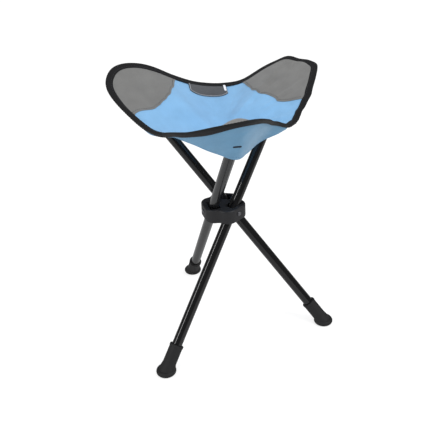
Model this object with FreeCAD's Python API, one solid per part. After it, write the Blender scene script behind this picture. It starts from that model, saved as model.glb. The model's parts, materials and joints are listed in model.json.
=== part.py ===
import FreeCAD, Part
import math
import os

# Folding tripod camp stool, in millimetres, +Z up, standing on its three feet.
# Three straight tubes cross at a moulded hub. Each one is pinned to the hub, and a
# three-cornered fabric seat hangs from the tube tops.

Vec = FreeCAD.Vector

# Legs, measured along the tube from the pivot pin
LEG_TILT = 37.33            # degrees from vertical when the stool is open
LEG_OFFSET = 17.72          # tube axis to hub axis
PIVOT_HEIGHT = 216.2
UPPER_LENGTH = 228.0
LOWER_LENGTH = 259.3
TUBE_RADIUS = 8.0
TUBE_WALL = 1.0
FOOT_AZIMUTH = {"a": 336.94, "b": 216.94, "c": 96.94}

# Pivot pins
PIN_RADIUS = 2.5
PIN_INNER_END = 4.5
PIN_HEAD_RADIUS = 3.6
PIN_HEAD_HEIGHT = 1.4
PIN_HEAD_ROUNDING = 1.2
PIN_HOLE_GAP = 0.02         # radial, where the pin is held in the hub
PIN_RUN_GAP = 0.06          # radial, where the tube turns on the pin

# Hub
HUB_TOP = 10.0              # above the pivots
HUB_BOTTOM = 12.8           # below the pivots
LOBE_REACH = 32.6
LOBE_HALF_WIDTH = 24.6
LOBE_CORNER_RADIUS = 15.5
HUB_VALLEY_RADIUS = 10.0    # between neighbouring lobes
HUB_EDGE_RADIUS = 2.8
SLOT_STOP_GAP = 0.3
SLOT_SIDE_GAP = 0.35

# Rubber feet
SLEEVE_RADIUS = 10.5
SLEEVE_TOP = 223.0
SLEEVE_BOTTOM = 261.0
FLARE_START = 253.0
COLLAR_RADIUS = 11.1
COLLAR_LENGTH = 4.0
COLLAR_EDGE_RADIUS = 1.0
SOLE_RADIUS = 15.5
SOLE_HEIGHT = 9.0
SOLE_EDGE_RADIUS = 4.4
SOLE_SHIFT = 3.4            # inward from where the tube axis meets the floor

# Plugs in the tube tops
PLUG_HEAD_HEIGHT = 3.0
PLUG_EDGE_RADIUS = 2.4
PLUG_STEM_LENGTH = 15.0
PLUG_STEM_GAP = 0.05

# Seat rim, every 15 degrees counter-clockwise from the front corner: radius, height.
# The corners are the 1st, 9th and 17th stations. The fabric is slack and uneven.
FRONT_CORNER_AZIMUTH = 270.0
RIM = (
    (165, 414), (134, 401), (107, 384), (98, 372),
    (106, 363), (119, 376), (138, 399), (158, 414),
    (158, 417), (142, 405), (123, 384), (121, 376),
    (125, 376), (119, 387), (123, 403), (144, 422),
    (165, 424), (158, 405), (131, 382), (111, 367),
    (103, 367), (112, 377), (131, 388), (152, 403),
)
RIM_STEP = 360 / len(RIM)
BEND_SWEEPS = 60            # enough for the smooth curve through the stations to settle
CORNERS = {"a": 240.0, "b": 120.0, "c": 0.0}
SEAT_CENTRE_HEIGHT = 340.0
SEAT_SAG_POWER = 1.35       # half way between corners
CORNER_SAG_POWER = 0.95     # towards a corner
SEAT_THICKNESS = 1.6
SEAT_RINGS = (
    0.08, 0.2, 0.31, 0.41, 0.5, 0.58, 0.65, 0.7, 0.74, 0.77,
    0.8, 0.825, 0.85, 0.875, 0.9, 0.92, 0.94, 0.96, 0.98, 1.0,
)
TIP_RADIUS = 133.7          # where a tube end pushes the fabric up
TIP_HEIGHT = 405.6
TIP_CURVE = 18.0
TIP_SOFTNESS = 6.0

# Tape folded over the rim
BINDING_WIDTH = 7.5
BINDING_THICKNESS = 1.2
BINDING_GAP = 0.4
BINDING_BEND = 2.5          # below the rim, where the tape turns down
BINDING_NOSE_OUT = 0.6      # how far the fold stands past the rim, outside and inside
BINDING_NOSE_IN = 0.2
BINDING_FLAP_ROWS = 5

# Corner pockets
POCKET_THICKNESS = 1.2
POCKET_START = 8.9          # below the rim, where the tape ends
POCKET_EDGE_HEIGHT = 11.0
POCKET_DEPTH = 84.0
POCKET_LEAN = 0.58          # inward part of the panel's downward direction
POCKET_TUCK = 7.0           # how far the panel falls in beside the leg
POCKET_CLEARANCE = 1.5      # mid surface to tube wall
POCKET_CAP_HEIGHT = 9.0     # the bulge above the tube's end
POCKET_TUCK_WIDTH = 0.16
POCKET_HALF_COLUMNS = 18
POCKET_ROWS = 10
BLEND = 6                   # how sharply the panel bends where it meets the tube
POCKET_SHIFT = 0.05         # the deepest place, towards the leg
# How fast the depth falls off before and after the deepest place
POCKET_POWERS = {"a": (2.0, 1.6), "b": (2.0, 1.6), "c": (2.0, 0.6)}
POCKET_SPAN = 0.94          # of the 60 degrees to each side of the corner

# Corner reinforcement patches
PATCH_THICKNESS = 0.6
PATCH_INNER = 0.5           # fraction of the way from seat centre to rim
PATCH_HALF_ANGLE = 31.0
PATCH_SHAPE_POWER = 0.38
PATCH_RIM_MARGIN = 8.9
PATCH_ROWS = 24
PATCH_HALF_COLUMNS = 14

# Label on the seat inside the rear edge, and a small tag on the label's end
REAR_ANGLE = 180.0
LABEL_THICKNESS = 0.8
LABEL_FROM = 164.5
LABEL_TO = 196.0
LABEL_DROP = 0.18
LABEL_RIM_MARGIN = 8.9
TAG_THICKNESS = 0.5
TAG_FROM = 164.8
TAG_TO = 166.8
TAG_DROP = 0.1
LABEL_ROUNDING = 0.35
TAG_ROUNDING = 0.1
LABEL_HALF_COLUMNS = 6
TAG_HALF_COLUMNS = 2
SURFACE_GAP = 0.55

TILT = math.radians(LEG_TILT)
TUBE_DOWN = Vec(math.sin(TILT), 0, -math.cos(TILT))
LOWEST = -PIVOT_HEIGHT
RING_ANGLES = range(60, 420, 5)
FLAP_END = 0.995            # the tape's flap starts just inside the rim


def leg_placement(leg):
    """From a leg's own frame, x towards its foot and y along its pin, to the stool's."""
    azimuth = FOOT_AZIMUTH[leg]
    pin_direction = math.radians(azimuth + 90)
    position = Vec(
        LEG_OFFSET * math.cos(pin_direction),
        LEG_OFFSET * math.sin(pin_direction),
        PIVOT_HEIGHT,
    )
    return FreeCAD.Placement(position, FreeCAD.Rotation(Vec(0, 0, 1), azimuth))


def placed(shape, leg):
    copy = shape.copy()
    copy.Placement = leg_placement(leg).multiply(copy.Placement)
    return copy


def tube_cylinder(radius, start, end):
    """A cylinder on the tube axis, from start to end measured from the pivot to the foot."""
    return Part.makeCylinder(radius, end - start, TUBE_DOWN * start, TUBE_DOWN)


def leg_tube():
    outer = tube_cylinder(TUBE_RADIUS, -UPPER_LENGTH, LOWER_LENGTH)
    inner = tube_cylinder(TUBE_RADIUS - TUBE_WALL, -UPPER_LENGTH - 1, LOWER_LENGTH + 1)
    hole_radius = PIN_RADIUS + PIN_RUN_GAP
    hole = Part.makeCylinder(hole_radius, 4 * TUBE_RADIUS, Vec(0, -2 * TUBE_RADIUS, 0), Vec(0, 1, 0))
    return outer.cut(inner).cut(hole)


def top_plug():
    head = Part.makeCylinder(TUBE_RADIUS, PLUG_HEAD_HEIGHT)
    top_edges = [edge for edge in head.Edges if edge.BoundBox.ZMin > PLUG_HEAD_HEIGHT - 0.01]
    head = head.makeFillet(PLUG_EDGE_RADIUS, top_edges)
    stem_radius = TUBE_RADIUS - TUBE_WALL - PLUG_STEM_GAP
    stem = Part.makeCylinder(stem_radius, PLUG_STEM_LENGTH, Vec(0, 0, -PLUG_STEM_LENGTH))
    plug = head.fuse(stem).removeSplitter()
    turn = FreeCAD.Rotation(Vec(0, 0, 1), TUBE_DOWN * -1)
    plug.Placement = FreeCAD.Placement(TUBE_DOWN * -UPPER_LENGTH, turn)
    return plug


def foot():
    axis_at_floor = PIVOT_HEIGHT * math.tan(TILT)
    sole_centre = Vec(axis_at_floor - SOLE_SHIFT, 0, LOWEST)
    sole = Part.makeCylinder(SOLE_RADIUS, SOLE_HEIGHT, sole_centre)
    rims = [edge for edge in sole.Edges if abs(edge.BoundBox.ZMax - edge.BoundBox.ZMin) < 0.01]
    sole = sole.makeFillet(SOLE_EDGE_RADIUS, rims)
    sleeve = tube_cylinder(SLEEVE_RADIUS, SLEEVE_TOP, SLEEVE_BOTTOM)
    collar = tube_cylinder(COLLAR_RADIUS, SLEEVE_TOP, SLEEVE_TOP + COLLAR_LENGTH)
    collar_rims = [edge for edge in collar.Edges if len(edge.Vertexes) == 1]
    collar = collar.makeFillet(COLLAR_EDGE_RADIUS, collar_rims)
    upper_ring = Part.Wire(Part.makeCircle(SLEEVE_RADIUS - 0.1, TUBE_DOWN * FLARE_START, TUBE_DOWN))
    ring_centre = sole_centre + Vec(0, 0, SOLE_HEIGHT - SOLE_EDGE_RADIUS)
    lower_ring = Part.Wire(Part.makeCircle(SOLE_RADIUS - 1.0, ring_centre, Vec(0, 0, -1)))
    flare = Part.makeLoft([upper_ring, lower_ring], True, True)
    bore = tube_cylinder(TUBE_RADIUS, SLEEVE_TOP - 5, LOWER_LENGTH)
    return sole.fuse([sleeve, collar, flare]).cut(bore).removeSplitter()


def pivot_pin():
    """In the leg's frame the hub axis is LEG_OFFSET behind the pivot along y."""
    outward = Vec(0, 1, 0)
    inner_end = Vec(0, PIN_INNER_END - LEG_OFFSET, 0)
    shank = Part.makeCylinder(PIN_RADIUS, LOBE_REACH - PIN_INNER_END, inner_end, outward)
    face = Vec(0, LOBE_REACH - LEG_OFFSET, 0)
    head = Part.makeCylinder(PIN_HEAD_RADIUS, PIN_HEAD_HEIGHT, face, outward)
    far_rim = [edge for edge in head.Edges if edge.BoundBox.YMin > face.y + PIN_HEAD_HEIGHT - 0.01]
    return shank.fuse(head.makeFillet(PIN_HEAD_ROUNDING, far_rim)).removeSplitter()


def hub_lobe():
    """One rounded block, with its flat outer face across the pin."""
    height = HUB_TOP + HUB_BOTTOM
    base = Vec(-LOBE_HALF_WIDTH, -LEG_OFFSET, -HUB_BOTTOM)
    block = Part.makeBox(2 * LOBE_HALF_WIDTH, LOBE_REACH, height, base)
    corners = [
        edge for edge in block.Edges
        if edge.BoundBox.ZMax - edge.BoundBox.ZMin > height - 1 and edge.BoundBox.YMin > 0
    ]
    return block.makeFillet(LOBE_CORNER_RADIUS, corners)


def slot_point(across, along, angle):
    """A point beside the tube axis when the leg stands at this angle from vertical."""
    return Vec(
        across * math.cos(angle) + along * math.sin(angle),
        0,
        across * math.sin(angle) - along * math.cos(angle),
    )


def leg_slot():
    """The space a tube sweeps as it folds from its open tilt to vertical."""
    half = TUBE_RADIUS + SLOT_STOP_GAP
    reach = 60.0
    waist = half / math.cos(TILT / 2)
    outline = [
        slot_point(half, reach, TILT),
        slot_point(-half, reach, 0),
        slot_point(-waist, 0, TILT / 2),
        slot_point(-half, -reach, TILT),
        slot_point(half, -reach, 0),
        slot_point(waist, 0, TILT / 2),
    ]
    depth = 2 * (TUBE_RADIUS + SLOT_SIDE_GAP)
    start = Vec(0, -depth / 2, 0)
    wire = Part.makePolygon([point + start for point in outline + outline[:1]])
    return Part.Face(wire).extrude(Vec(0, depth, 0))


def distance_from_axis(edge):
    point = edge.Vertexes[0].Point
    return math.hypot(point.x, point.y)


def hub_body():
    lobe = hub_lobe()
    lobes = [placed(lobe, leg) for leg in FOOT_AZIMUTH]
    body = lobes[0].fuse(lobes[1:]).removeSplitter()
    upright = [edge for edge in body.Edges if edge.BoundBox.ZMax - edge.BoundBox.ZMin > 1]
    nearest = min(distance_from_axis(edge) for edge in upright)
    valleys = [edge for edge in upright if distance_from_axis(edge) < nearest + 0.05]
    body = body.makeFillet(HUB_VALLEY_RADIUS, valleys)
    flat_edges = [edge for edge in body.Edges if edge.BoundBox.ZMax - edge.BoundBox.ZMin < 0.01]
    body = body.makeFillet(HUB_EDGE_RADIUS, flat_edges)
    slot = leg_slot()
    hole_length = LOBE_REACH - PIN_INNER_END + 2
    hole_start = Vec(0, PIN_INNER_END - LEG_OFFSET, 0)
    hole = Part.makeCylinder(PIN_RADIUS + PIN_HOLE_GAP, hole_length, hole_start, Vec(0, 1, 0))
    for leg in FOOT_AZIMUTH:
        body = body.cut(placed(slot, leg)).cut(placed(hole, leg))
    return body


def rim_stations():
    """The rim stations as points, and how sharply a smooth closed curve bends at each."""
    points = []
    for index, (radius, height) in enumerate(RIM):
        azimuth = math.radians(FRONT_CORNER_AZIMUTH + RIM_STEP * index)
        points.append(Vec(radius * math.cos(azimuth), radius * math.sin(azimuth), height))
    count = len(points)
    bends = [Vec() for point in points]
    for _ in range(BEND_SWEEPS):
        for index in range(count):
            before = points[index - 1]
            after = points[(index + 1) % count]
            right = (after - points[index] * 2 + before) * 6
            bends[index] = (right - bends[index - 1] - bends[(index + 1) % count]) * 0.25
    return points, bends


RIM_POINTS, RIM_BENDS = rim_stations()


def rim_point(angle):
    """The smooth closed rim, at this many degrees from the front corner."""
    place = (angle % 360.0) / RIM_STEP
    index = int(place) % len(RIM)
    following = (index + 1) % len(RIM)
    b = place - int(place)
    a = 1 - b
    chord = RIM_POINTS[index] * a + RIM_POINTS[following] * b
    bend = RIM_BENDS[index] * (a ** 3 - a) + RIM_BENDS[following] * (b ** 3 - b)
    return chord + bend * (1 / 6)


def inward(angle):
    azimuth = math.radians(FRONT_CORNER_AZIMUTH + angle)
    return Vec(-math.cos(azimuth), -math.sin(azimuth), 0)


def seat_point(angle, part):
    """The middle of the seat fabric: part is 0 at the centre and 1 at the rim."""
    rim = rim_point(angle)
    x = part * rim.x
    y = part * rim.y
    cornerness = (1 + math.cos(math.radians(3 * angle))) / 2
    power = SEAT_SAG_POWER + (CORNER_SAG_POWER - SEAT_SAG_POWER) * cornerness
    height = SEAT_CENTRE_HEIGHT + (rim.z - SEAT_CENTRE_HEIGHT) * part ** power
    for corner in CORNERS.values():
        tip = inward(corner) * -TIP_RADIUS
        distance_squared = (x - tip.x) ** 2 + (y - tip.y) ** 2
        dome = TIP_HEIGHT - distance_squared / (2 * TIP_CURVE)
        gap = height - dome
        height = (height + dome + math.sqrt(gap * gap + TIP_SOFTNESS ** 2)) / 2
    return Vec(x, y, height)


def seat_directions(angle, part):
    """Unit vectors in the fabric, inward from the rim, and up from it."""
    step = 0.01
    along = seat_point(angle + 0.5, part) - seat_point(angle - 0.5, part)
    along.normalize()
    inner = seat_point(angle, part - step) - seat_point(angle, part + step)
    inner = inner - along * inner.dot(along)
    inner.normalize()
    up = inner.cross(along)
    if up.z < 0:
        up = up * -1
    return inner, up


def seat_offset(angle, part, offset):
    inner, up = seat_directions(angle, part)
    return seat_point(angle, part) + up * offset


def ring_edge(points):
    """A smooth closed curve through points about 5 degrees apart."""
    curve = Part.BSplineCurve()
    curve.interpolate(Points=points, PeriodicFlag=True)
    return curve.toShape()


def solid_from_faces(faces):
    shell = Part.Shell(faces)
    shell.sewShape()
    solid = Part.Solid(Part.Shell(shell.Faces))
    if solid.Volume < 0:
        solid.reverse()
    return solid


def part_at_margin(angle, margin):
    """The part of the way from the centre that is this far in from the rim, square to it."""
    rim = rim_point(angle)
    tangent = rim_point(angle + 0.1) - rim_point(angle - 0.1)
    tangent.z = 0
    tangent.normalize()
    squareness = abs(inward(angle).cross(tangent).z)
    return 1 - margin / (squareness * math.hypot(rim.x, rim.y))


def rings_to_solid(rings, closed):
    """Ruled faces from ring to ring, joined back to the first ring or capped flat."""
    edges = [ring_edge(points) for points in rings]
    pairs = list(zip(edges, edges[1:]))
    if closed:
        pairs.append((edges[-1], edges[0]))
    faces = [Part.makeRuledSurface(first, second) for first, second in pairs]
    if not closed:
        faces.append(Part.Face(Part.Wire(edges[0])))
        faces.append(Part.Face(Part.Wire(edges[-1])))
    return solid_from_faces(faces)


def slab(outer_rows, inner_rows):
    """A thin sheet between two grids of points that face each other."""
    faces = []
    borders = []
    for rows in (outer_rows, inner_rows):
        surface = Part.BSplineSurface()
        surface.interpolate(rows)
        faces.append(surface.toShape())
        u_first, u_last, v_first, v_last = surface.bounds()
        borders.append([
            surface.uIso(u_first), surface.uIso(u_last),
            surface.vIso(v_first), surface.vIso(v_last),
        ])
    for outer_curve, inner_curve in zip(*borders):
        faces.append(Part.makeRuledSurface(outer_curve.toShape(), inner_curve.toShape()))
    return solid_from_faces(faces)


def seat_panel():
    half = SEAT_THICKNESS / 2
    top = [[seat_offset(angle, part, half) for angle in RING_ANGLES] for part in SEAT_RINGS]
    bottom = [[seat_offset(angle, part, -half) for angle in RING_ANGLES] for part in SEAT_RINGS]
    flat_top = [Vec(point.x, point.y, SEAT_CENTRE_HEIGHT + half) for point in top[0]]
    flat_bottom = [Vec(point.x, point.y, SEAT_CENTRE_HEIGHT - half) for point in bottom[0]]
    rings = [flat_top] + top[1:] + bottom[:0:-1] + [flat_bottom]
    return rings_to_solid(rings, closed=False)


def pocket_down(angle):
    """Unit vector down the outside of the seat from the rim."""
    fall = math.sqrt(1 - POCKET_LEAN ** 2)
    return inward(angle) * POCKET_LEAN - Vec(0, 0, fall)


def edge_binding():
    inner_face = SEAT_THICKNESS / 2 + BINDING_GAP
    outer_face = inner_face + BINDING_THICKNESS
    profiles = []
    for angle in RING_ANGLES:
        rim = seat_point(angle, 1.0)
        inner = seat_directions(angle, 1.0)[0]
        lip = part_at_margin(angle, BINDING_WIDTH)
        width = FLAP_END - lip
        flap = [lip + width * row / (BINDING_FLAP_ROWS - 1) for row in range(BINDING_FLAP_ROWS)]
        down = pocket_down(angle)
        out = inward(angle) * -math.sqrt(1 - POCKET_LEAN ** 2) - Vec(0, 0, POCKET_LEAN)
        nose = (inner + down) * -1
        nose.normalize()
        profile = [seat_offset(angle, part, outer_face) for part in flap]
        profile += [
            rim + nose * (outer_face + BINDING_NOSE_OUT),
            rim + down * BINDING_BEND + out * outer_face,
            rim + down * BINDING_WIDTH + out * outer_face,
            rim + down * BINDING_WIDTH + out * inner_face,
            rim + down * BINDING_BEND + out * inner_face,
            rim + nose * (inner_face + BINDING_NOSE_IN),
        ]
        profile += [seat_offset(angle, part, inner_face) for part in reversed(flap)]
        profiles.append(profile)
    rings = [list(ring) for ring in zip(*profiles)]
    return rings_to_solid(rings, closed=True)


def leg_axis_point(leg, distance):
    """A point on a leg's upper tube axis, this far above its pivot."""
    return leg_placement(leg).multVec(TUBE_DOWN * -distance)


def clear_of_leg(point, leg):
    """Push a pocket point out until it clears the tube and the plug on its end."""
    pivot = leg_axis_point(leg, 0)
    upward = leg_axis_point(leg, 1) - pivot
    distance = (point - pivot).dot(upward)
    foot_of_normal = pivot + upward * distance
    away = point - foot_of_normal
    wanted = TUBE_RADIUS + POCKET_CLEARANCE
    beyond = distance - UPPER_LENGTH - 1
    if beyond > 0:
        wanted *= math.sqrt(max(0.0, 1 - (beyond / POCKET_CAP_HEIGHT) ** 2))
    actual = away.Length
    pushed = (actual ** BLEND + wanted ** BLEND) ** (1 / BLEND)
    return foot_of_normal + away * (pushed / actual)


def pocket_point(leg, across, down_part):
    """across runs -1 to 1 from one rim middle to the next, down_part 0 to 1 from the rim."""
    angle = CORNERS[leg] + 60 * across
    turn = math.pi / 2 * across
    place = turn - math.pi / 2 * POCKET_SHIFT * math.cos(turn)
    before, after = POCKET_POWERS[leg]
    power = before if place < 0 else after
    bell = math.cos(place) ** (2 * power)
    height = POCKET_EDGE_HEIGHT + (POCKET_DEPTH - POCKET_EDGE_HEIGHT) * bell
    distance = POCKET_START + (height - POCKET_START) * down_part
    beside_leg = 1 - math.exp(-(across / POCKET_TUCK_WIDTH) ** 2)
    tuck = POCKET_TUCK * beside_leg * bell * down_part
    point = seat_point(angle, 1.0) + pocket_down(angle) * distance + inward(angle) * tuck
    return clear_of_leg(point, leg)


def pocket_normal(leg, across, down_part):
    step = 0.01
    left = pocket_point(leg, across - step, down_part)
    right = pocket_point(leg, across + step, down_part)
    above = pocket_point(leg, across, down_part - step)
    below = pocket_point(leg, across, down_part + step)
    normal = (below - above).cross(right - left)
    normal.normalize()
    return normal


def corner_pocket(leg):
    """Columns crowd towards the middle, where the panel bends round the tube."""
    half = POCKET_THICKNESS / 2
    outer_rows = []
    inner_rows = []
    for column in range(-POCKET_HALF_COLUMNS, POCKET_HALF_COLUMNS + 1):
        side = column / POCKET_HALF_COLUMNS
        across = POCKET_SPAN * side * abs(side) ** 0.5
        outer_row = []
        inner_row = []
        for row in range(POCKET_ROWS + 1):
            down_part = row / POCKET_ROWS
            point = pocket_point(leg, across, down_part)
            normal = pocket_normal(leg, across, down_part)
            outer_row.append(point + normal * half)
            inner_row.append(point - normal * half)
        outer_rows.append(outer_row)
        inner_rows.append(inner_row)
    return slab(outer_rows, inner_rows)


def overlay(angle_rows, thickness, low=SEAT_THICKNESS / 2 + SURFACE_GAP):
    """A thin piece this far above the seat's middle. angle_rows holds rows of (angle, part)."""
    upper = [[seat_offset(angle, part, low + thickness) for angle, part in row] for row in angle_rows]
    lower = [[seat_offset(angle, part, low) for angle, part in row] for row in angle_rows]
    return slab(upper, lower)


def corner_patch(leg):
    rows = []
    for index in range(PATCH_ROWS + 1):
        reach = 0.01 + 0.99 * index / PATCH_ROWS
        half_angle = PATCH_HALF_ANGLE * reach ** PATCH_SHAPE_POWER
        row = []
        for column in range(-PATCH_HALF_COLUMNS, PATCH_HALF_COLUMNS + 1):
            angle = CORNERS[leg] + half_angle * column / PATCH_HALF_COLUMNS
            outer = part_at_margin(angle, PATCH_RIM_MARGIN)
            row.append((angle, PATCH_INNER + (outer - PATCH_INNER) * reach))
        rows.append(row)
    return overlay(rows, PATCH_THICKNESS)


def rear_piece(start, end, drop, rounding, half_columns):
    """Rows of places for a flap that hangs from the rim tape, rounded at its free corners."""
    rows = []
    middle = (start + end) / 2
    half = (end - start) / 2
    for index in range(half_columns + 1):
        row = []
        for column in range(-half_columns, half_columns + 1):
            side = column / half_columns
            angle = middle + half * side
            top = part_at_margin(angle, LABEL_RIM_MARGIN)
            part = top - drop * (1 - rounding * side ** 4) * index / half_columns
            straight_down = REAR_ANGLE + (angle - REAR_ANGLE) * top / part
            row.append((straight_down, part))
        rows.append(row)
    return rows


def seat_label():
    rows = rear_piece(LABEL_FROM, LABEL_TO, LABEL_DROP, LABEL_ROUNDING, LABEL_HALF_COLUMNS)
    return overlay(rows, LABEL_THICKNESS)


def side_tag():
    top_of_label = SEAT_THICKNESS / 2 + SURFACE_GAP + LABEL_THICKNESS
    rows = rear_piece(TAG_FROM, TAG_TO, TAG_DROP, TAG_ROUNDING, TAG_HALF_COLUMNS)
    return overlay(rows, TAG_THICKNESS, top_of_label + SURFACE_GAP)


def build_parts():
    parts = {"hub_body": hub_body()}
    pin = pivot_pin()
    tube = leg_tube()
    rubber = foot()
    plug = top_plug()
    for leg in FOOT_AZIMUTH:
        parts["pivot_pin_" + leg] = placed(pin, leg)
        parts["leg_tube_" + leg] = placed(tube, leg)
        parts["foot_" + leg] = placed(rubber, leg)
        parts["top_plug_" + leg] = placed(plug, leg)
        parts["corner_pocket_" + leg] = corner_pocket(leg)
        parts["corner_patch_" + leg] = corner_patch(leg)
    parts["seat_panel"] = seat_panel()
    parts["edge_binding"] = edge_binding()
    parts["seat_label"] = seat_label()
    parts["side_tag"] = side_tag()
    return parts


def main():
    parts = build_parts()
    box = Part.makeCompound(list(parts.values())).BoundBox
    shift = Vec(-box.Center.x, -box.Center.y, -box.ZMin)
    print("shift", round(shift.x, 3), round(shift.y, 3), round(shift.z, 3))
    os.makedirs("parts", exist_ok=True)
    for name, shape in parts.items():
        moved = shape.Solids[0].copy()
        moved.translate(shift)
        print(name, moved.ShapeType, moved.isValid(), len(moved.Solids), round(moved.Volume))
        moved.exportStep("parts/" + name + ".step")


main()
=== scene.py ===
import json
import math

import bpy
import numpy as np
from mathutils import Matrix, Vector


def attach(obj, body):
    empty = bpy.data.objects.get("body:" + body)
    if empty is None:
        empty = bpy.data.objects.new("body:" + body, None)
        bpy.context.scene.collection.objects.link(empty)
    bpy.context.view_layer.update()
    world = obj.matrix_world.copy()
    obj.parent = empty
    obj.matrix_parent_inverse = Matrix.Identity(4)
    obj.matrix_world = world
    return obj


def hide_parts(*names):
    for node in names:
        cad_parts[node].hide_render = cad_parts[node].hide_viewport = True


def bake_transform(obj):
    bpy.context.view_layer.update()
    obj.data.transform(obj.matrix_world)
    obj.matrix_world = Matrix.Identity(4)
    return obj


# Folding tripod camp stool. The tubes, hub, pins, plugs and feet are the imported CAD
# nodes with better materials. All the fabric is built here. Lengths are in
# millimetres until a mesh is made, measured from the hub axis and the floor.

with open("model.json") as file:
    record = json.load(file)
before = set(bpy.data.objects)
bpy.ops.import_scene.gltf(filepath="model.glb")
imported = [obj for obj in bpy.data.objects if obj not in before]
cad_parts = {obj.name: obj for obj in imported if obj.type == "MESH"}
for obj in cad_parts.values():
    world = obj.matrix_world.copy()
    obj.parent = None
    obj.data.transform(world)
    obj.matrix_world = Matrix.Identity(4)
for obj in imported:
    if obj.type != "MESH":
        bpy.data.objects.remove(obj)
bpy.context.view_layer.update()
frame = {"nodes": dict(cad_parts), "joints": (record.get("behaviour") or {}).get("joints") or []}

LEGS = ("a", "b", "c")
CORNERS = {"a": 240.0, "b": 120.0, "c": 0.0}
FRONT_CORNER_AZIMUTH = 270.0

# Seat rim every 15 degrees counter-clockwise from the front corner: radius, height
RIM = (
    (165, 414), (134, 401), (107, 384), (98, 372),
    (106, 363), (119, 376), (138, 399), (158, 414),
    (158, 417), (142, 405), (123, 384), (121, 376),
    (125, 376), (119, 387), (123, 403), (144, 422),
    (165, 424), (158, 405), (131, 382), (111, 367),
    (103, 367), (112, 377), (131, 388), (152, 403),
)
RIM_STEP = 360 / len(RIM)
# Where the plugs and the lumpy tape push the rim about: angle, spread, outward, upward
RIM_KINKS = (
    (125.5, 4.5, 0.6, 2.7), (118, 4.5, -0.6, -1.9), (104, 4.5, 2.6, 1.6), (252, 5, 1.2, 0.0),
    (84, 2.6, 1.1, -0.6), (73, 2.2, -1.0, 0.4), (66, 2.0, 1.1, -0.4), (56, 2.0, -0.8, 0.0),
)
SEAT_CENTRE_HEIGHT = 340.0
SEAT_SAG_POWER = 1.35
CORNER_SAG_POWER = 0.95
CENTRE_ROUNDING = 0.13      # of the way to the rim: the middle is a shallow bowl, not a point
FURROW_DEPTH = 0.6          # the furrow beside each fold, as parts of the fold's own sizes
FURROW_PLACE = 1.6
FURROW_WIDTH = 1.4
CREASE_START = 0.06         # how gently a fold starts and ends, as part of the way to the rim
CREASE_END = 0.1
# Folds in the seat: angle, half width in degrees, where it starts and ends, depth
CREASES = (
    (123, 2.2, 0.50, 0.95, 1.5), (240, 3.0, 0.60, 0.95, 0.9), (98, 2.0, 0.40, 0.93, 1.0),
    (72, 2.4, 0.35, 0.93, 0.9), (150, 3.0, 0.36, 0.75, 0.5), (290, 2.8, 0.36, 0.93, 0.7),
    (310, 2.4, 0.40, 0.93, 0.6),
)
TIP_RADIUS = 133.7
TIP_HEIGHT = 405.6
TIP_CURVE = 18.0
TIP_SOFTNESS = 6.0

# Slack in the seat: two crossed sets of faint folds, in millimetres
BROAD_WAVE = 0.9
FINE_WAVE = 0.5

SEAT_COLUMNS = 41
SEAT_INNER_PARTS = np.linspace(0.001, 0.7, 24)
SEAT_OUTER_PARTS = np.linspace(0.72, 0.995, 22)

CLOTH = 0.9
BINDING_COLUMNS = 121
BINDING_SHARES = (1.0, 0.92, 0.7, 0.45, 0.2)    # of each visible width, from the lip to the rim
BINDING_LIFT = 1.3          # the tape's middle above the cloth under it
BINDING_LIP = 0.4           # how far the lips dip towards the cloth
NOSE_OUT = 0.7              # how far the tape's fold stands out past its own middle
SHOULDER_OUT = 0.3
SHOULDER_TURN = 1.3         # how far the shoulders beside the fold turn towards each face
BINDING_WIDTH = 7.4         # on the seat side
BINDING_DROP = 5.6          # on the outside
BINDING_THICKNESS = 1.1
# Where the tape sits wider or narrower: angle, spread, change on the seat side, and outside
BINDING_CHANGES = (
    (220, 18, 2.4, 0.0), (209, 6, 0.9, 0.0), (116, 9, -3.2, 0.0), (278, 14, -1.0, 0.0),
    (100, 8, 0.6, 0.0), (30, 22, -1.2, -0.8), (345, 10, 0.0, 4.3), (48, 12, 0.0, -1.4),
)

POCKET_START = 4.5
POCKET_EDGE_HEIGHT = 7.0
POCKET_DEPTH = 84.0
POCKET_LEAN = 0.58
POCKET_TUCK = 7.0
POCKET_SHIFT = 0.05
POCKET_TUCK_WIDTH = 0.16
POCKET_SLACK = 1.2
POCKET_SPAN = 0.97          # of the way from the corner to the rim's middle
POCKET_COLUMNS = 46
POCKET_ROWS = 36
POCKET_POWERS = {"a": (2.0, 1.6), "b": (2.0, 1.6), "c": (2.0, 0.6)}
REAR_ANGLE = 180.0
LABEL_START = 164.5
LABEL_END = 195.5
LABEL_DROP = 0.205
LABEL_ROUNDING = 0.25
LABEL_LIFT = 1.2
LABEL_THICKNESS = 0.7
LABEL_COLUMNS = 41
LABEL_SEAM_INSET = 0.5      # degrees in from each end of the label
LABEL_SEAM_DROP = 0.198
LABEL_SEAM_LIFT = 1.6
TAG_START = 164.9
TAG_END = 166.6
TAG_DROP = 0.11
TAG_ROUNDING = 0.1
TAG_LIFT = 2.2
TAG_THICKNESS = 0.4
TAG_COLUMNS = 9
FLAP_MARGIN = 5.5           # where the flaps start, in from the rim
FLAP_ROWS = 14
FLAP_BULGE = 0.8

BARTACK_STITCHES = 17
BARTACK_ACROSS = -0.022
BARTACK_HALF_TURN = 0.035
BARTACK_DOWN = 0.60
BARTACK_SLANT = -0.004
BARTACK_HALF_HEIGHT = 0.034

PATCH_COLUMNS = 40
PATCH_ROWS = 26
PATCH_MARGIN = 3.0
PATCH_LIFT = 1.0
PATCH_LIP = 0.25
PATCH_THICKNESS = 0.6
PATCH_EDGE_SOFTNESS = 1.8   # degrees over which the free edge's corners are rounded
PATCH_SEAM_INSET = 0.014
PATCH_SEAM_LIFT = 1.35
HEM_DOWN = 0.93             # of a pocket's depth
HEM_STEP = 0.08

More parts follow.
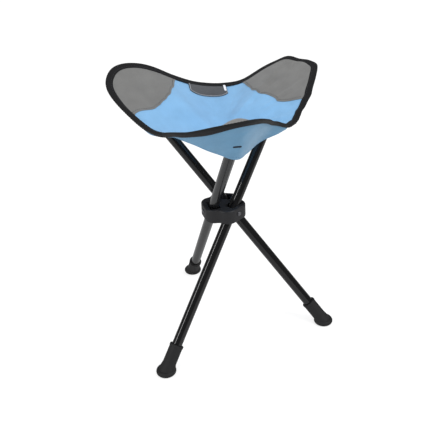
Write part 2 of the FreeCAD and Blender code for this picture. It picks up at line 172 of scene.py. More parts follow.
# Threads: length, gap and radius of a stitch
TAPE_STITCH = (2.6, 1.5, 0.32)
PATCH_STITCH = (2.4, 1.3, 0.28)
HEM_STITCH = (2.6, 1.4, 0.3)
BARTACK_STITCH = (3.6, 0.05, 0.6)
LABEL_STITCH = (1.6, 0.3, 0.6)
STITCH_SIDES = 6
STITCH_PLACES = np.array([0.0, 0.2, 0.8, 1.0])  # along the stitch
STITCH_SIZES = (0.35, 1.0, 1.0, 0.35)
STITCH_LIFTS = (-0.4, 0.5, 0.5, -0.4)

# The free edge of each corner patch: degrees from the corner, part of the way to the rim
PATCH_EDGES = {
    "a": (
        (-33.5, 0.94), (-31.6, 0.90), (-23.6, 0.72), (-10, 0.54), (0, 0.50), (10, 0.53),
        (17, 0.60), (20.5, 0.68), (23.5, 0.78), (28.3, 0.90), (30, 0.94),
    ),
    "b": (
        (-36.5, 0.94), (-34.5, 0.81), (-32, 0.71), (-26.4, 0.61), (-15.4, 0.53), (-5.7, 0.51),
        (2.5, 0.50), (13.5, 0.58), (23.8, 0.77), (30.5, 0.94),
    ),
    "c": (
        (-34, 0.94), (-29, 0.81), (-21, 0.65), (-10, 0.55), (0, 0.52), (10, 0.55),
        (18, 0.64), (23, 0.75), (27, 0.87), (31, 0.94),
    ),
}

PIVOT_HEIGHT = 216.2
LEG_TILT = math.radians(37.33)
LEG_OFFSET = 17.72
UPPER_LENGTH = 228.0
TUBE_RADIUS = 8.0
TUBE_CLEARANCE = 1.5        # between a tube's skin and the middle of the pocket cloth
PLUG_DOME = 9.0             # how far the plug's rounded end runs past the tube
FOOT_AZIMUTH = {"a": 336.94, "b": 216.94, "c": 96.94}

# Folding: each half of a corner's fabric would start to follow its leg at the first of these distances
# from the hub axis and follow it fully at the second, but follow_leg only works out these points and
# doesn't bend the fabric. They are measured along a level line turned this far from the corner, away from
# that half
FOLD_ANGLE = math.radians(55)
FOLD_START = 30.0
FOLD_END = 76.0


def hub_axis():
    """Where the hub axis stands in the frame, in millimetres."""
    places = np.array([joint["pos_m"] for joint in frame["joints"]])
    return places.mean(axis=0)[:2] * 1000


HUB = hub_axis()


def to_frame(points):
    points = np.array(points, float)
    points[..., :2] += HUB
    return points / 1000


def periodic_spline(values):
    """Second derivatives of the smooth closed curve through equally spaced values."""
    count = len(values)
    matrix = 4 * np.eye(count) + np.roll(np.eye(count), 1, axis=0) + np.roll(np.eye(count), -1, axis=0)
    right = 6 * (np.roll(values, -1) - 2 * values + np.roll(values, 1))
    return np.linalg.solve(matrix, right)


def rim_tables():
    azimuths = np.radians(FRONT_CORNER_AZIMUTH + RIM_STEP * np.arange(len(RIM)))
    radius, height = np.array(RIM, float).T
    values = np.stack([radius * np.cos(azimuths), radius * np.sin(azimuths), height])
    return values, np.stack([periodic_spline(row) for row in values])


RIM_VALUES, RIM_BENDS = rim_tables()


def turn_from(place, angle):
    """Degrees round the rim from a place to these angles, from -180 to 180."""
    return (np.asarray(angle, float) - place + 180) % 360 - 180


def rim_point(angle):
    """The rim at these angles in degrees from the front corner: an array of points."""
    place = np.asarray(angle, float) / RIM_STEP % len(RIM)
    index = np.floor(place).astype(int) % len(RIM)
    following = (index + 1) % len(RIM)
    b = place - np.floor(place)
    a = 1 - b
    parts = []
    for values, bends in zip(RIM_VALUES, RIM_BENDS):
        curve = a * values[index] + b * values[following]
        curve = curve + ((a ** 3 - a) * bends[index] + (b ** 3 - b) * bends[following]) / 6
        parts.append(curve)
    points = np.stack(parts, axis=-1)
    for kink, spread, out, up in RIM_KINKS:
        weight = np.exp(-(turn_from(kink, angle) / spread) ** 2)
        points = points + outward(angle) * (out * weight)[..., None]
        points[..., 2] += up * weight
    return points


def outward(angle):
    azimuth = np.radians(FRONT_CORNER_AZIMUTH + np.asarray(angle, float))
    return np.stack([np.cos(azimuth), np.sin(azimuth), np.zeros_like(azimuth)], axis=-1)


def creases(angle, part):
    """Sharp folds pressed into the cloth, in millimetres: each runs out along one angle."""
    height = np.zeros(np.broadcast(angle, part).shape)
    for place, width, start, end, depth in CREASES:
        turn = turn_from(place, angle)
        furrow = np.exp(-((turn + FURROW_PLACE * width) / (FURROW_WIDTH * width)) ** 2)
        across = np.exp(-(turn / width) ** 2) - FURROW_DEPTH * furrow
        along = np.clip((part - start) / CREASE_START, 0, 1) * np.clip((end - part) / CREASE_END, 0, 1)
        height = height + depth * across * along
    return height


def fabric_waves(x, y):
    """Slack in the cloth: faint uneven folds, in millimetres."""
    waves = BROAD_WAVE * np.sin(x / 21 + 0.6 * np.sin(y / 33)) * np.sin(y / 27 + 1.1)
    waves += FINE_WAVE * np.sin((x + 1.7 * y) / 13 + 2.0) * np.cos((y - 0.4 * x) / 37)
    return waves


def seat_point(angle, part):
    """The middle of the seat fabric: part is 0 at the centre and 1 at the rim."""
    angle, part = np.broadcast_arrays(np.asarray(angle, float), np.asarray(part, float))
    rim = rim_point(angle)
    x = part * rim[..., 0]
    y = part * rim[..., 1]
    cornerness = (1 + np.cos(np.radians(3 * angle))) / 2
    power = SEAT_SAG_POWER + (CORNER_SAG_POWER - SEAT_SAG_POWER) * cornerness
    reach = np.sqrt(part ** 2 + CENTRE_ROUNDING ** 2)
    reach = reach - CENTRE_ROUNDING * np.exp(-(part / (2 * CENTRE_ROUNDING)) ** 2)
    height = SEAT_CENTRE_HEIGHT + (rim[..., 2] - SEAT_CENTRE_HEIGHT) * np.maximum(reach, 0) ** power
    height = height + fabric_waves(x, y) * np.clip(1.2 - part, 0, 1) * np.clip(part * 4, 0, 1)
    height = height + creases(angle, part)
    for corner in CORNERS.values():
        tip = outward(corner) * TIP_RADIUS
        dome = TIP_HEIGHT - ((x - tip[0]) ** 2 + (y - tip[1]) ** 2) / (2 * TIP_CURVE)
        gap = height - dome
        height = (height + dome + np.sqrt(gap ** 2 + TIP_SOFTNESS ** 2)) / 2
    return np.stack([x, y, height], axis=-1)


def unit(vectors):
    return vectors / np.maximum(np.linalg.norm(vectors, axis=-1, keepdims=True), 1e-9)


def seat_directions(angle, part):
    """Unit vectors in the fabric, inward from the rim, and up from it."""
    step = 0.01
    along = unit(seat_point(angle + 0.5, part) - seat_point(angle - 0.5, part))
    inner = seat_point(angle, part - step) - seat_point(angle, part + step)
    inner = unit(inner - along * (inner * along).sum(-1, keepdims=True))
    up = np.cross(inner, along)
    return inner, up * np.sign(up[..., 2:3])


def seat_offset(angle, part, offset):
    inner, up = seat_directions(angle, part)
    return seat_point(angle, part) + up * np.asarray(offset)[..., None]


def part_at_margin(angle, margin):
    """The part of the way from the centre that is this far in from the rim, square to it."""
    rim = rim_point(angle)
    tangent = unit((rim_point(angle + 0.1) - rim_point(angle - 0.1)) * (1, 1, 0))
    out = outward(angle)
    squareness = np.abs(out[..., 0] * tangent[..., 1] - out[..., 1] * tangent[..., 0])
    return 1 - margin / (squareness * np.hypot(rim[..., 0], rim[..., 1]))


def pocket_down(angle):
    fall = math.sqrt(1 - POCKET_LEAN ** 2)
    return -outward(angle) * POCKET_LEAN - np.array([0, 0, fall])


def pocket_out(angle):
    """The unit vector out of a pocket's cloth, square to pocket_down."""
    fall = math.sqrt(1 - POCKET_LEAN ** 2)
    return outward(angle) * fall - np.array([0, 0, POCKET_LEAN])


def leg_line(leg):
    """The pivot and the unit vector up the tube."""
    azimuth = math.radians(FOOT_AZIMUTH[leg])
    toward_foot = np.array([math.cos(azimuth), math.sin(azimuth), 0])
    pin = np.array([-math.sin(azimuth), math.cos(azimuth), 0])
    pivot = pin * LEG_OFFSET + np.array([0, 0, PIVOT_HEIGHT])
    up = np.array([0, 0, math.cos(LEG_TILT)]) - toward_foot * math.sin(LEG_TILT)
    return pivot, up


def clear_of_leg(points, leg):
    """Push pocket points out until they clear the tube and the plug on its end."""
    pivot, up = leg_line(leg)
    distance = (points - pivot) @ up
    foot_of_normal = pivot + distance[..., None] * up
    away = points - foot_of_normal
    beyond = np.clip((distance - UPPER_LENGTH - 1) / PLUG_DOME, 0, 1)
    wanted = (TUBE_RADIUS + TUBE_CLEARANCE) * np.sqrt(1 - beyond ** 2)
    actual = np.linalg.norm(away, axis=-1)
    pushed = (actual ** 6 + wanted ** 6) ** (1 / 6)
    return foot_of_normal + away * (pushed / np.maximum(actual, 1e-6))[..., None]


def pocket_point(leg, across, down_part):
    """across runs -1 to 1 from one rim middle to the next, down_part 0 to 1 from the rim."""
    angle = CORNERS[leg] + 60 * across
    turn = np.pi / 2 * across
    place = turn - np.pi / 2 * POCKET_SHIFT * np.cos(turn)
    bell = np.cos(place) ** (2 * np.where(place < 0, *POCKET_POWERS[leg]))
    height = POCKET_EDGE_HEIGHT + (POCKET_DEPTH - POCKET_EDGE_HEIGHT) * bell
    distance = POCKET_START + (height - POCKET_START) * down_part
    tuck = POCKET_TUCK * (1 - np.exp(-(across / POCKET_TUCK_WIDTH) ** 2)) * bell * down_part
    slack = POCKET_SLACK * np.sin(distance / 14 + 5 * across) * np.sin(9 * across + 0.8) * down_part
    point = seat_point(angle, 1.0) + pocket_down(angle) * distance[..., None]
    point = point - outward(angle) * (tuck + slack)[..., None]
    return clear_of_leg(point, leg)


# ---------------------------------------------------------------- meshes

def grid_faces(rows, columns, wrap=False):
    faces = []
    last = rows if wrap else rows - 1
    for i in range(last):
        for j in range(columns - 1):
            low = i * columns + j
            high = (i + 1) % rows * columns + j
            faces.append((low, low + 1, high + 1, high))
    return faces


def new_mesh(name, points, faces, uvs=None):
    """A smooth-shaded object from points in millimetres about the hub axis."""
    mesh = bpy.data.meshes.new(name)
    mesh.from_pydata(to_frame(points).reshape(-1, 3).tolist(), [], faces)
    mesh.shade_smooth()
    if uvs is not None:
        layer = mesh.uv_layers.new(name="cloth")
        flat = np.asarray(uvs, float).reshape(-1, 2)
        corners = np.zeros(len(mesh.loops), np.int32)
        mesh.loops.foreach_get("vertex_index", corners)
        layer.data.foreach_set("uv", flat[corners].ravel())
    mesh.update()
    thing = bpy.data.objects.new(name, mesh)
    bpy.context.scene.collection.objects.link(thing)
    return thing


def sheet_mesh(name, points, uvs, thickness):
    """A grid of points as a thin sheet of cloth with real thickness."""
    rows, columns = points.shape[:2]
    thing = new_mesh(name, points, grid_faces(rows, columns), uvs)
    for edge in thing.data.edges:
        (row, column), (end_row, end_column) = (divmod(vertex, columns) for vertex in edge.vertices)
        on_side = column == end_column and column in (0, columns - 1)
        edge.use_edge_sharp = on_side or (row == end_row and row in (0, rows - 1))
    solid = thing.modifiers.new("thickness", "SOLIDIFY")
    solid.thickness = thickness / 1000
    solid.offset = 0
    return thing


def plan_uv(points):
    """Threads run square in the cloth as it was cut: metres in plan."""
    return points[..., :2] / 1000


def follow_leg(thing, leg, side):
    """One half of a corner's fabric: the fold line from the hub towards the leg is worked out but not
    applied, and the object's transform is baked into its mesh.
    """
    corner = outward(CORNERS[leg])
    sideways = np.array([-corner[1], corner[0], 0])
    direction = corner * math.cos(FOLD_ANGLE) - side * sideways * math.sin(FOLD_ANGLE)
    height = np.array([0, 0, SEAT_CENTRE_HEIGHT])
    start = to_frame(direction * FOLD_START + height)
    end = to_frame(direction * FOLD_END + height)
    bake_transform(thing)


def half_name(base, leg, side):
    return f"{base}_{leg}_{'right' if side > 0 else 'left'}"


def half_angles(leg, side, count):
    """Angles from a corner out to the middle of the rim on one side, rising."""
    angles = CORNERS[leg] + side * np.linspace(0, 60, count)
    return angles if side > 0 else angles[::-1]


def seat_half(leg, side):
    angles = half_angles(leg, side, SEAT_COLUMNS)
    parts = np.concatenate([SEAT_INNER_PARTS, SEAT_OUTER_PARTS])
    points = seat_point(angles[None, :], parts[:, None])
    return sheet_mesh(half_name("seat", leg, side), points, plan_uv(points), CLOTH)


def patch_edge(leg, turn):
    """The part of the way to the rim where a patch ends, this many degrees from its corner."""
    degrees, parts = np.array(PATCH_EDGES[leg]).T
    nearby = turn[..., None] + np.linspace(-PATCH_EDGE_SOFTNESS, PATCH_EDGE_SOFTNESS, 9)
    return np.interp(nearby, degrees, parts).mean(axis=-1)


def patch_turns(leg, side, count):
    """Degrees from the corner to the end of the patch on one side."""
    end = PATCH_EDGES[leg][-1][0] if side > 0 else PATCH_EDGES[leg][0][0]
    return end * np.linspace(0, 1, count) ** 0.8


def patch_half(leg, side):
    turn = patch_turns(leg, side, PATCH_COLUMNS)
    if side < 0:
        turn = turn[::-1]
    angle = np.broadcast_to(CORNERS[leg] + turn, (PATCH_ROWS, turn.size))
    inner = patch_edge(leg, turn)
    outer = part_at_margin(angle[0], PATCH_MARGIN)
    row = np.linspace(0, 1, PATCH_ROWS)[:, None]
    part = inner + (outer - inner) * row
    lift = PATCH_LIFT - PATCH_LIP * (row == 0)
    points = seat_offset(angle, part, lift + 0 * angle)
    return sheet_mesh(half_name("patch", leg, side), points, plan_uv(points), PATCH_THICKNESS)


def tape_widths(angle):
    """The folded tape's two visible widths, which wander a little along the rim."""
    upper = BINDING_WIDTH + 0.35 * np.sin(angle / 4.3) + 0.25 * np.sin(angle / 7.9 + 1.0)
    lower = BINDING_DROP + 0.3 * np.sin(angle / 5.1 + 0.7)
    for place, spread, on_seat, outside in BINDING_CHANGES:
        turn = turn_from(place, angle)
        weight = np.exp(-(turn / spread) ** 2)
        upper = upper + on_seat * weight
        lower = lower + outside * weight
    return upper, lower


def binding_profile(angle):
    """Points across the folded tape, from the inner lip on the seat round to the lower lip."""
    width, drop = tape_widths(angle)
    offset = BINDING_LIFT + 0.15 * np.sin(angle / 3.1)
    rim = seat_point(angle, 1.0)
    inner = seat_directions(angle, 1.0)[0]
    down = pocket_down(angle)
    out = pocket_out(angle)
    nose = unit(-(inner + down))
    rows = []
    for share in BINDING_SHARES:
        rise = offset if share < 1 else offset - BINDING_LIP
        rows.append(seat_offset(angle, part_at_margin(angle, width * share), rise))
    up = seat_directions(angle, 0.995)[1]
    rows.append(rim + unit(up * SHOULDER_TURN + nose) * (offset + SHOULDER_OUT)[..., None])
    rows.append(rim + nose * (offset + NOSE_OUT)[..., None])
    rows.append(rim + unit(out * SHOULDER_TURN + nose) * (offset + SHOULDER_OUT)[..., None])
    for share in reversed(BINDING_SHARES):
        rise = offset if share < 1 else offset - BINDING_LIP
        rows.append(rim + down * (drop * share)[..., None] + out * rise[..., None])
    return np.stack(rows, axis=0)


def binding_half(leg, side):
    angles = half_angles(leg, side, BINDING_COLUMNS)
    points = binding_profile(angles)
    steps = np.linalg.norm(np.diff(rim_point(angles), axis=0), axis=-1)
    along = np.concatenate([[0], np.cumsum(steps)]) / 1000
    across = np.linspace(0, BINDING_WIDTH + BINDING_DROP + 4, points.shape[0]) / 1000
    uvs = np.stack(np.broadcast_arrays(along[None, :], across[:, None]), axis=-1)
    return sheet_mesh(half_name("binding", leg, side), points, uvs, BINDING_THICKNESS)


def pocket_half(leg, side):
    across = POCKET_SPAN * side * np.linspace(0, 1, POCKET_COLUMNS) ** 1.5
    if side < 0:
        across = across[::-1]
    down = np.linspace(0, 1, POCKET_ROWS)
    points = pocket_point(leg, *np.meshgrid(across, down))
    steps = np.linalg.norm(np.diff(points[POCKET_ROWS // 2], axis=0), axis=-1)
    along = np.concatenate([[0], np.cumsum(steps)]) / 1000
    height = np.linalg.norm(points - points[:1], axis=-1) / 1000
    uvs = np.stack([np.broadcast_to(along[None, :], height.shape), height], axis=-1)
    return sheet_mesh(half_name("pocket", leg, side), points, uvs, CLOTH)


def rear_points(start, end, drop, rounding, lift, columns):
    """Rows of points over a flap that hangs from the rim tape onto the seat."""
    angles = np.linspace(start, end, columns)
    side = np.linspace(-1, 1, columns)
    fall = drop * (1 - rounding * side ** 4)
    top = part_at_margin(angles, FLAP_MARGIN)
    down = np.linspace(0, 1, FLAP_ROWS)
    part = top[None, :] - fall[None, :] * down[:, None]
    angle = REAR_ANGLE + (angles - REAR_ANGLE) * top / part
    rise = lift + FLAP_BULGE * np.sin(np.pi * down)[:, None] * (1 - 0.3 * side[None, :] ** 2)
    return seat_offset(angle, part, rise)


def rear_flap(name, start, end, drop, rounding, lift, thickness, columns):
    points = rear_points(start, end, drop, rounding, lift, columns)
    return sheet_mesh(name, points, plan_uv(points), thickness)


def stitch_rows(name, lines, normals, length, gap, radius):
    """Short raised threads along lines of points, all in one mesh."""
    vertices = []
    faces = []
    ring = np.linspace(0, 2 * np.pi, STITCH_SIDES + 1)[:-1]
    for line, normal in zip(lines, normals):
        steps = np.linalg.norm(np.diff(line, axis=0), axis=-1)
        place = np.concatenate([[0], np.cumsum(steps)])
        starts = np.arange(gap, place[-1] - length, length + gap)
        for begin in starts:
            stations = begin + length * STITCH_PLACES
            centre = np.stack([np.interp(stations, place, line[:, k]) for k in range(3)], axis=-1)
            up = unit(np.array([np.interp(begin, place, normal[:, k]) for k in range(3)]))
            ahead = unit(centre[-1] - centre[0])
            across = np.cross(ahead, up)
            base = len(vertices)
            for point, size, lift in zip(centre, STITCH_SIZES, STITCH_LIFTS):
                for turn in ring:
                    spoke = across * math.cos(turn) + up * (math.sin(turn) * 0.8)
                    vertices.append(point + up * lift * radius + spoke * radius * size)
            last = base + STITCH_SIDES * (len(STITCH_PLACES) - 1)
            for start in range(base, last, STITCH_SIDES):
                for j in range(STITCH_SIDES):
                    low = start + j
                    high = start + (j + 1) % STITCH_SIDES
                    faces.append((low, high, high + STITCH_SIDES, low + STITCH_SIDES))
            faces.append(tuple(reversed(range(base, base + STITCH_SIDES))))
            faces.append(tuple(range(last, last + STITCH_SIDES)))
    return new_mesh(name, np.array(vertices), faces)


# ---------------------------------------------------------------- materials

def node_material(name, color, roughness):
    material = bpy.data.materials.new(name)
    material.use_nodes = True
    shader = material.node_tree.nodes["Principled BSDF"]
    shader.inputs["Base Color"].default_value = (*color, 1)
    shader.inputs["Roughness"].default_value = roughness
    return material, material.node_tree.nodes, material.node_tree.links, shader


def vary_color(nodes, links, vector, color, scale, amount, detail=4.0):
    """The colour, a little lighter and darker from place to place."""
    noise = nodes.new("ShaderNodeTexNoise")
    noise.inputs["Scale"].default_value = scale
    noise.inputs["Detail"].default_value = detail
    links.new(vector, noise.inputs["Vector"])
    ramp = nodes.new("ShaderNodeValToRGB")
    dark = [c * (1 - amount) for c in color]
    light = [min(1, c * (1 + amount)) for c in color]
    ramp.color_ramp.elements[0].position = 0.3
    ramp.color_ramp.elements[0].color = (*dark, 1)
    ramp.color_ramp.elements[1].position = 0.7
    ramp.color_ramp.elements[1].color = (*light, 1)
    links.new(noise.outputs["Fac"], ramp.inputs["Fac"])
    return ramp.outputs["Color"]


def weave_height(nodes, links, uv, thread):
    """Crossing threads this wide, in metres, as a height from 0 to 1."""
    waves = []
    for direction in ("X", "Y"):
        wave = nodes.new("ShaderNodeTexWave")
        wave.bands_direction = direction
        wave.inputs["Scale"].default_value = 0.314 / thread
        wave.inputs["Distortion"].default_value = 0.6
        wave.inputs["Detail"].default_value = 1.0
        links.new(uv, wave.inputs["Vector"])
        waves.append(wave.outputs["Fac"])
    join = nodes.new("ShaderNodeMath")
    join.operation = "MULTIPLY"
    links.new(waves[0], join.inputs[0])
    links.new(waves[1], join.inputs[1])
    return join.outputs["Value"]


def fabric(name, color, thread, roughness=0.85, sheen=0.15, bump=0.25, variation=0.06):
    material, nodes, links, shader = node_material(name, color, roughness)
    uv = nodes.new("ShaderNodeUVMap")
    uv.uv_map = "cloth"
    vector = uv.outputs["UV"]
    height = weave_height(nodes, links, vector, thread)
    tone = vary_color(nodes, links, vector, color, 45, variation)
    weave_tone = nodes.new("ShaderNodeMix")
    weave_tone.data_type = "RGBA"
    weave_tone.blend_type = "MULTIPLY"
    weave_tone.inputs["Factor"].default_value = 0.35
    links.new(tone, weave_tone.inputs["A"])
    shade = nodes.new("ShaderNodeMapRange")
    shade.inputs["To Min"].default_value = 0.72
    shade.inputs["To Max"].default_value = 1.12
    links.new(height, shade.inputs["Value"])
    links.new(shade.outputs["Result"], weave_tone.inputs["B"])
    links.new(weave_tone.outputs["Result"], shader.inputs["Base Color"])
    relief = nodes.new("ShaderNodeBump")
    relief.inputs["Strength"].default_value = bump
    relief.inputs["Distance"].default_value = 0.0003
    links.new(height, relief.inputs["Height"])
    soft = nodes.new("ShaderNodeTexNoise")
    soft.inputs["Scale"].default_value = 60
    soft.inputs["Detail"].default_value = 3
    links.new(vector, soft.inputs["Vector"])
    slack = nodes.new("ShaderNodeBump")
    slack.inputs["Strength"].default_value = 0.35
    slack.inputs["Distance"].default_value = 0.002
    links.new(soft.outputs["Fac"], slack.inputs["Height"])
    links.new(relief.outputs["Normal"], slack.inputs["Normal"])
    links.new(slack.outputs["Normal"], shader.inputs["Normal"])
    shader.inputs["Sheen Weight"].default_value = sheen
    shader.inputs["Specular IOR Level"].default_value = 0.25
    return material


def object_vector(nodes):
    return nodes.new("ShaderNodeTexCoord").outputs["Object"]


def hard_material(name, color, roughness, grain, bump, variation=0.1, metallic=0.0, coat=0.0):
    """Moulded or painted surfaces: fine grain in the relief and in the gloss."""
    material, nodes, links, shader = node_material(name, color, roughness)
    vector = object_vector(nodes)
    links.new(vary_color(nodes, links, vector, color, 30, variation), shader.inputs["Base Color"])
    noise = nodes.new("ShaderNodeTexNoise")
    noise.inputs["Scale"].default_value = grain
    noise.inputs["Detail"].default_value = 5
    links.new(vector, noise.inputs["Vector"])
    gloss = nodes.new("ShaderNodeMapRange")
    gloss.inputs["To Min"].default_value = max(0.02, roughness - 0.08)
    gloss.inputs["To Max"].default_value = roughness + 0.08
    links.new(noise.outputs["Fac"], gloss.inputs["Value"])
    links.new(gloss.outputs["Result"], shader.inputs["Roughness"])
    relief = nodes.new("ShaderNodeBump")
    relief.inputs["Strength"].default_value = bump
    relief.inputs["Distance"].default_value = 0.0004
    links.new(noise.outputs["Fac"], relief.inputs["Height"])
    links.new(relief.outputs["Normal"], shader.inputs["Normal"])
    shader.inputs["Metallic"].default_value = metallic
    shader.inputs["Coat Weight"].default_value = coat
    return material


def srgb(red, green, blue):
    values = [channel / 255 for channel in (red, green, blue)]
    return tuple(v / 12.92 if v <= 0.04045 else ((v + 0.055) / 1.055) ** 2.4 for v in values)


def paint(thing, material):
    thing.data.materials.clear()
    thing.data.materials.append(material)


MATERIALS = {
    "seat": fabric("seat cloth", srgb(121, 168, 208), 0.0006),
    # The pocket cloth is the seat's blue fabric painted darker. This is painted shade for the pockets,
    # which hang in shadow under the seat rim.
    "pocket": fabric("pocket cloth with painted shade", srgb(88, 132, 163), 0.0006),
    "patch": fabric("patch cloth", srgb(110, 110, 109), 0.0007, variation=0.08),
    "binding": fabric("binding tape", srgb(24, 24, 26), 0.0012, roughness=0.8, sheen=0.03, bump=0.5),
    "label": fabric("label cloth", srgb(74, 76, 80), 0.0005),
    "tag": fabric("tag cloth", srgb(225, 228, 235), 0.0004),
    "thread": hard_material("thread", srgb(46, 48, 52), roughness=0.7, grain=4000, bump=0.3),
    "blue thread": hard_material("blue thread", srgb(92, 136, 168), roughness=0.7, grain=4000, bump=0.3),
    "dark thread": hard_material("dark thread", srgb(10, 20, 34), roughness=0.7, grain=4000, bump=0.3),
    "pale thread": hard_material("pale thread", srgb(168, 170, 174), roughness=0.7, grain=4000, bump=0.3),
    "tube": hard_material("black paint", srgb(14, 14, 15), roughness=0.16, grain=900, bump=0.03, coat=0.3),
    "hub": hard_material("moulded nylon", srgb(25, 25, 28), roughness=0.5, grain=2500, bump=0.25),
    "rubber": hard_material("rubber", srgb(24, 24, 25), roughness=0.68, grain=1500, bump=0.3),
    "plug": hard_material("plug plastic", srgb(30, 30, 31), roughness=0.55, grain=2000, bump=0.2),
    "pin": hard_material(
        "plated steel", srgb(120, 120, 124), roughness=0.4, grain=1800, bump=0.1, metallic=1.0,
    ),
}

NODE_MATERIALS = {
    "hub_body": "hub",
    "pivot_pin": "pin",
    "leg_tube": "tube",
    "foot": "rubber",
    "top_plug": "plug",
}


def finish_cad_nodes():
    for name, node in frame["nodes"].items():
        for start, material in NODE_MATERIALS.items():
            if name.startswith(start):
                paint(node, MATERIALS[material])


# ---------------------------------------------------------------- pieces

def tape_stitches(leg, side):
    """The tape's two seams, one on each lip."""
    angles = half_angles(leg, side, 241)
    profile = binding_profile(angles)
    up = seat_directions(angles, 0.95)[1]
    out = pocket_out(angles)
    upper = profile[2] + up * (BINDING_THICKNESS / 2)
    lower = profile[10] + out * (BINDING_THICKNESS / 2)
    return stitch_rows(half_name("tape_stitches", leg, side), [upper, lower], [up, out], *TAPE_STITCH)


def patch_stitches(leg, side):
    """A seam just inside the free edge of a patch."""
    turn = patch_turns(leg, side, 80)
    part = patch_edge(leg, turn) + PATCH_SEAM_INSET
    angle = CORNERS[leg] + turn * 0.97
    up = seat_directions(angle, part)[1]
    line = seat_offset(angle, part, np.full(angle.shape, PATCH_SEAM_LIFT))
    return stitch_rows(half_name("patch_stitches", leg, side), [line], [up], *PATCH_STITCH)


def pocket_stitches(leg, side):
    """The hem along a pocket's free lower edge."""
    across = 0.95 * side * np.linspace(0, 1, 140)
    line = pocket_point(leg, across, np.full(across.shape, HEM_DOWN))
    above = pocket_point(leg, across, np.full(across.shape, HEM_DOWN - HEM_STEP))
    beside = pocket_point(leg, across + 0.01, np.full(across.shape, HEM_DOWN))
    normal = unit(np.cross(line - above, beside - line))
    line = line + normal * (CLOTH / 2)
    return stitch_rows(half_name("pocket_stitches", leg, side), [line], [normal], *HEM_STITCH)


def bartack(leg):
    """A dense bar of stitches across the middle of a pocket."""
    lines = []
    normals = []
    for place in np.linspace(-1, 1, BARTACK_STITCHES):
        across = np.full(6, BARTACK_ACROSS + place * BARTACK_HALF_TURN)
        middle = BARTACK_DOWN + BARTACK_SLANT * place
        reach = BARTACK_HALF_HEIGHT * (1 - 0.25 * place ** 2)
        down = np.linspace(middle - reach, middle + reach, 6)
        line = pocket_point(leg, across, down)
        ahead = pocket_point(leg, across + 0.01, down) - line
        normal = unit(np.cross(ahead, line[-1] - line[0]))
        normal = normal * np.sign((normal * outward(CORNERS[leg])).sum(-1, keepdims=True))
        lines.append(line + normal * (CLOTH / 2))
        normals.append(normal)
    return stitch_rows("bartack_" + leg, lines, normals, *BARTACK_STITCH)


def label_stitches():
    """A pale whipped edge round the label's three free sides."""
    start = LABEL_START + LABEL_SEAM_INSET
    end = LABEL_END - LABEL_SEAM_INSET
    rows = rear_points(start, end, LABEL_SEAM_DROP, LABEL_ROUNDING, LABEL_SEAM_LIFT, LABEL_COLUMNS)
    line = np.concatenate([rows[1:, 0], rows[-1, 1:-1], rows[::-1][:-1, -1]])
    up = seat_directions(np.array([REAR_ANGLE]), np.array([0.8]))[1]
    normal = np.broadcast_to(up[0], line.shape)
    return stitch_rows("label_stitches", [line], [normal], *LABEL_STITCH)


def build_half(leg, side):
    seat = seat_half(leg, side)
    patch = patch_half(leg, side)
    binding = binding_half(leg, side)
    pocket = pocket_half(leg, side)
    seams = tape_stitches(leg, side)
    edging = patch_stitches(leg, side)
    hem = pocket_stitches(leg, side)
    looks = (
        (seat, "seat", "seat_fabric"),
        (patch, "patch", "patch_fabric"),
        (binding, "binding", "binding_tape"),
        (pocket, "pocket", "pocket_fabric"),
        (seams, "thread", "binding_tape"),
        (edging, "thread", "patch_fabric"),
        (hem, "blue thread", "pocket_fabric"),
    )
    for thing, material, slot in looks:
        paint(thing, MATERIALS[material])
        follow_leg(thing, leg, side)
    return {"seat": seat, "patch": patch, "binding": binding, "pocket": pocket}


def build_fabric():
    halves = {(leg, side): build_half(leg, side) for leg in LEGS for side in (-1, 1)}
    label = rear_flap(
        "label", LABEL_START, LABEL_END, LABEL_DROP, LABEL_ROUNDING,
        LABEL_LIFT, LABEL_THICKNESS, LABEL_COLUMNS,
    )
    tag = rear_flap(
        "tag", TAG_START, TAG_END, TAG_DROP, TAG_ROUNDING,
        TAG_LIFT, TAG_THICKNESS, TAG_COLUMNS,
    )
    rear = (
        (label, "label", "label_fabric"),
        (label_stitches(), "pale thread", "label_fabric"),
        (tag, "tag", "tag_fabric"),
    )
    for thing, material, slot in rear:
        paint(thing, MATERIALS[material])
        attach(thing, "hub")
    for leg in LEGS:
        tack = bartack(leg)
        paint(tack, MATERIALS["dark thread"])
        follow_leg(tack, leg, -1)
    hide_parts("seat_label")
    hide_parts("side_tag")
    for leg in LEGS:
        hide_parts("corner_patch_" + leg)
        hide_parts("corner_pocket_" + leg)
    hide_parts("seat_panel")
    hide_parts("edge_binding")
    return halves, label, tag


# ---------------------------------------------------------------- stage

CAMERA_TARGET = (-8.42, 0.0, 196.8)
CAMERA_DISTANCE = 1000.18
CAMERA_ELEVATION = math.radians(28.97)
CAMERA_ROLL = math.radians(-2.48)
CAMERA_TURN = math.radians(-9.26)
FOCAL_LENGTH = 52.31

WORLD_LIGHT = 1.0
WORLD_IN_REFLECTIONS = 0.1
FLOOR_HALF_WIDTH = 6.0
FLOOR_GREY = 0.35
FLOOR_GLOW = 0.68
FLOOR_GLOW_IN_REFLECTIONS = 0.05


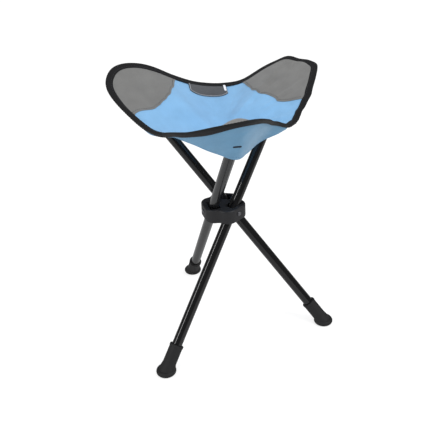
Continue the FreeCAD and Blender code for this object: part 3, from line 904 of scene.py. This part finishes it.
def make_camera():
    """The camera stands a little to the left of the front corner and looks down."""
    turn = Matrix.Rotation(CAMERA_TURN, 3, "Z")
    back = Vector((0, -math.cos(CAMERA_ELEVATION), math.sin(CAMERA_ELEVATION)))
    level_right = Vector((1, 0, 0))
    level_up = Vector((0, math.sin(CAMERA_ELEVATION), math.cos(CAMERA_ELEVATION)))
    right = math.cos(CAMERA_ROLL) * level_right + math.sin(CAMERA_ROLL) * level_up
    up = math.cos(CAMERA_ROLL) * level_up - math.sin(CAMERA_ROLL) * level_right
    place = turn @ (Vector(CAMERA_TARGET) + CAMERA_DISTANCE * back)
    right, up, back = turn @ right, turn @ up, turn @ back
    data = bpy.data.cameras.new("camera")
    data.lens = FOCAL_LENGTH
    data.sensor_width = 36
    data.clip_start = 0.01
    camera = bpy.data.objects.new("camera", data)
    bpy.context.scene.collection.objects.link(camera)
    location = Vector(to_frame(list(place)))
    matrix = Matrix((right, up, back)).transposed().to_4x4()
    matrix.translation = location
    camera.matrix_world = matrix
    bpy.context.scene.camera = camera


def area_light(name, place, target, size, power, shape="SQUARE", size_y=None):
    data = bpy.data.lights.new(name, "AREA")
    data.energy = power
    data.shape = shape
    data.size = size
    if size_y:
        data.size_y = size_y
    light = bpy.data.objects.new(name, data)
    light.location = place
    aim = Vector(target) - Vector(place)
    light.rotation_euler = aim.to_track_quat("-Z", "Y").to_euler()
    bpy.context.scene.collection.objects.link(light)


def make_world():
    """White to the camera, dim in reflections, so that black paint stays black."""
    world = bpy.data.worlds.new("studio")
    world.use_nodes = True
    bpy.context.scene.world = world
    nodes, links = world.node_tree.nodes, world.node_tree.links
    background = nodes["Background"]
    background.inputs["Color"].default_value = (1, 1, 1, 1)
    path = nodes.new("ShaderNodeLightPath")
    strength = nodes.new("ShaderNodeMapRange")
    strength.inputs["To Min"].default_value = WORLD_LIGHT
    strength.inputs["To Max"].default_value = WORLD_IN_REFLECTIONS
    links.new(path.outputs["Is Glossy Ray"], strength.inputs["Value"])
    links.new(strength.outputs["Result"], background.inputs["Strength"])


def make_floor():
    mesh = bpy.data.meshes.new("floor")
    half = FLOOR_HALF_WIDTH
    corners = [(-half, -half, 0), (half, -half, 0), (half, half, 0), (-half, half, 0)]
    mesh.from_pydata(corners, [], [(0, 1, 2, 3)])
    floor = bpy.data.objects.new("floor", mesh)
    bpy.context.scene.collection.objects.link(floor)
    material, nodes, links, shader = node_material("floor", (FLOOR_GREY, FLOOR_GREY, FLOOR_GREY), 0.9)
    shader.inputs["Specular IOR Level"].default_value = 0.0
    shader.inputs["Emission Color"].default_value = (1, 1, 1, 1)
    path = nodes.new("ShaderNodeLightPath")
    glow = nodes.new("ShaderNodeMapRange")
    glow.inputs["To Min"].default_value = FLOOR_GLOW
    glow.inputs["To Max"].default_value = FLOOR_GLOW_IN_REFLECTIONS
    links.new(path.outputs["Is Glossy Ray"], glow.inputs["Value"])
    links.new(glow.outputs["Result"], shader.inputs["Emission Strength"])
    paint(floor, material)


def make_stage():
    make_camera()
    make_world()
    make_floor()
    area_light("key", (1.3, -1.2, 1.9), (0, 0, 0.3), 0.9, 26)
    area_light("left strip", (-1.5, -0.6, 1.0), (0, 0, 0.25), 0.25, 9, "RECTANGLE", 1.4)
    bpy.context.scene.view_settings.view_transform = "Standard"


def main():
    finish_cad_nodes()
    halves, label, tag = build_fabric()
    make_stage()


main()
